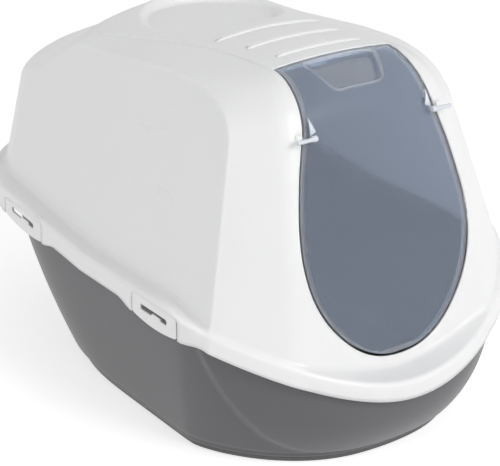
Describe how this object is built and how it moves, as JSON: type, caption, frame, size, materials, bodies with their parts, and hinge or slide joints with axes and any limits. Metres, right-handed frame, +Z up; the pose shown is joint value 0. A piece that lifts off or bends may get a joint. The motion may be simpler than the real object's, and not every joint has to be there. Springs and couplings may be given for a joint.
{
  "type": "hooded litter box",
  "caption": "Covered litter box: deep grey tray, white clip-on hood with a carry dish, louvred filter slots and a clear swinging door at the front.",
  "frame": {"origin": "centre of the bounding box on the ground, under the tray's foot", "axes": "+Z up, the door faces -Y, +X to the right hand of someone looking at the back, the part is symmetric about X = 0"},
  "size_m": [0.376, 0.566, 0.363],
  "materials": {
    "tray_plastic": "satin grey moulded polypropylene",
    "hood_plastic": "satin white moulded polypropylene",
    "cover_plastic": "satin white moulded polypropylene",
    "smoke_clear": "clear smoke-blue moulded styrene",
    "pin_clear": "glossy, slightly cloudy plastic",
    "charcoal_foam": "open charcoal foam"
  },
  "bodies": {
    "tray": {"base_tray": "tray_plastic"},
    "hood": {"hood": "hood_plastic"},
    "door": {"flap_door": "smoke_clear", "hinge_pin_left": "pin_clear", "hinge_pin_right": "pin_clear"},
    "clip_fl": {"clip_front_left": "hood_plastic"},
    "clip_fr": {"clip_front_right": "hood_plastic"},
    "clip_rl": {"clip_rear_left": "hood_plastic"},
    "clip_rr": {"clip_rear_right": "hood_plastic"},
    "cover": {"filter_cover": "cover_plastic", "filter_pad": "charcoal_foam"}
  },
  "joints": [
    {"name": "hood_lift", "type": "slide", "parent": "tray", "child": "hood", "axis": [0, 0, 1], "range_m": [0, 0.2]},
    {"name": "door_swing", "type": "hinge", "parent": "hood", "child": "door", "pos_m": [0, -0.2085, 0.309], "axis": [1, 0, 0], "range_deg": [-75, 75]},
    {"name": "clip_front_left_hinge", "type": "hinge", "parent": "hood", "child": "clip_fl", "pos_m": [-0.1855, -0.13, 0.1545], "axis": [0, 1, 0], "range_deg": [0, 75]},
    {"name": "clip_front_right_hinge", "type": "hinge", "parent": "hood", "child": "clip_fr", "pos_m": [0.1855, -0.13, 0.1545], "axis": [0, -1, 0], "range_deg": [0, 75]},
    {"name": "clip_rear_left_hinge", "type": "hinge", "parent": "hood", "child": "clip_rl", "pos_m": [-0.1855, 0.112, 0.16598], "axis": [0, 1, 0], "range_deg": [0, 75]},
    {"name": "clip_rear_right_hinge", "type": "hinge", "parent": "hood", "child": "clip_rr", "pos_m": [0.1855, 0.112, 0.16598], "axis": [0, -1, 0], "range_deg": [0, 75]},
    {"name": "filter_cover_hinge", "type": "hinge", "parent": "hood", "child": "cover", "pos_m": [0, -0.036, 0.3412], "axis": [1, 0, 0], "range_deg": [0, 60]}
  ]
}
